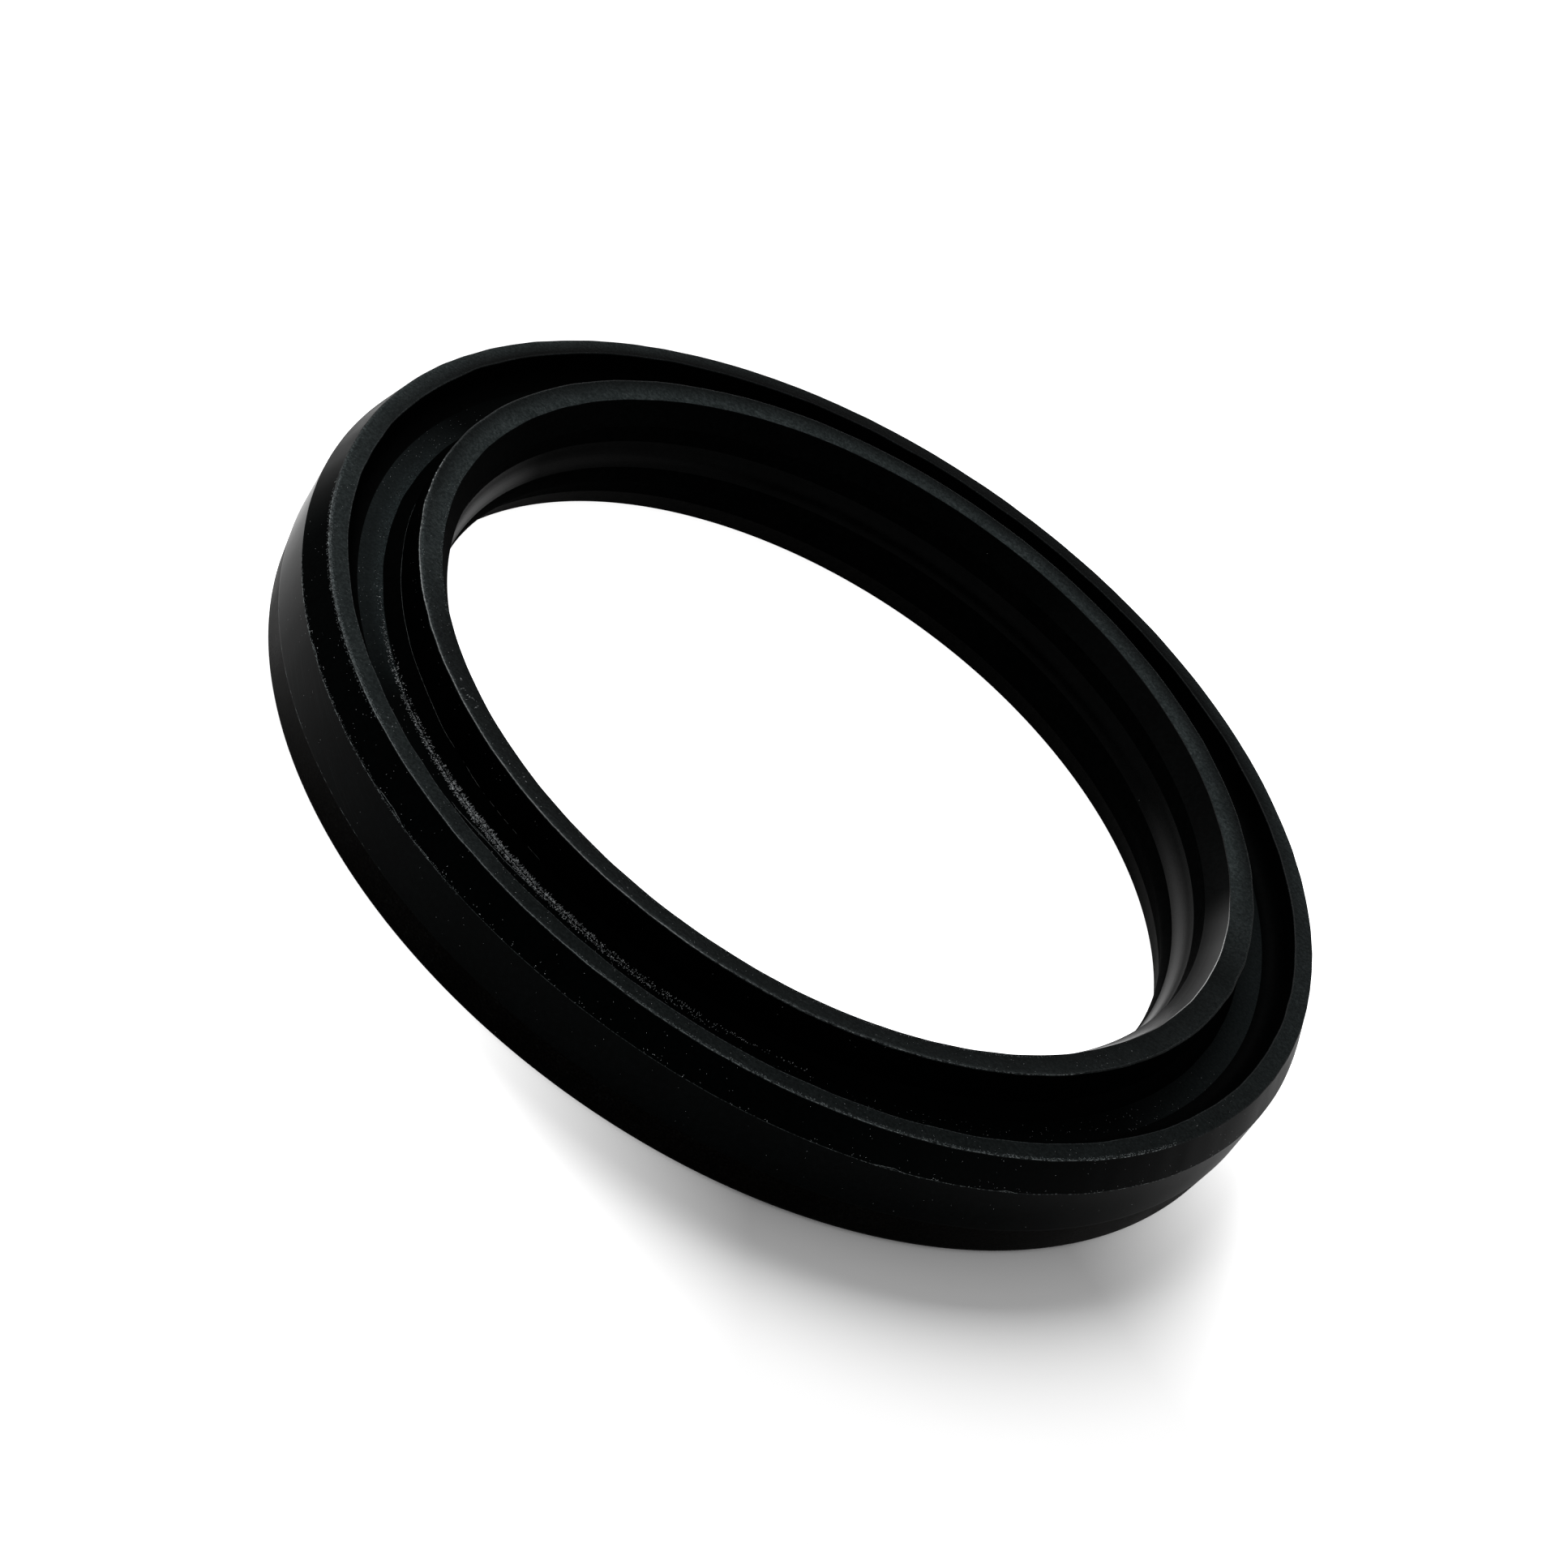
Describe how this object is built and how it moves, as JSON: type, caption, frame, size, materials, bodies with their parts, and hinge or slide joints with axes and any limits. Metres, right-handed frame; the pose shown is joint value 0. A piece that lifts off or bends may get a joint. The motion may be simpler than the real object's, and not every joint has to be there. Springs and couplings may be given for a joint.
{
  "type": "sensor seal ring",
  "caption": "Black moulded rubber lip seal ring for a round sensor, with a bevelled sealing edge, an open groove, a taller inner lip and a gripping bead in the bore.",
  "frame": {"origin": "centre of the heel plane, on the ring's axis", "axes": "+Z along the ring's axis from the heel towards the lips; the ring is round, so X and Y are free"},
  "size_m": [0.04, 0.04, 0.0054],
  "materials": {
    "rubber": "matt moulded black rubber with a faint grain"
  },
  "bodies": {
    "root": {"seal_ring": "rubber"}
  },
  "joints": []
}
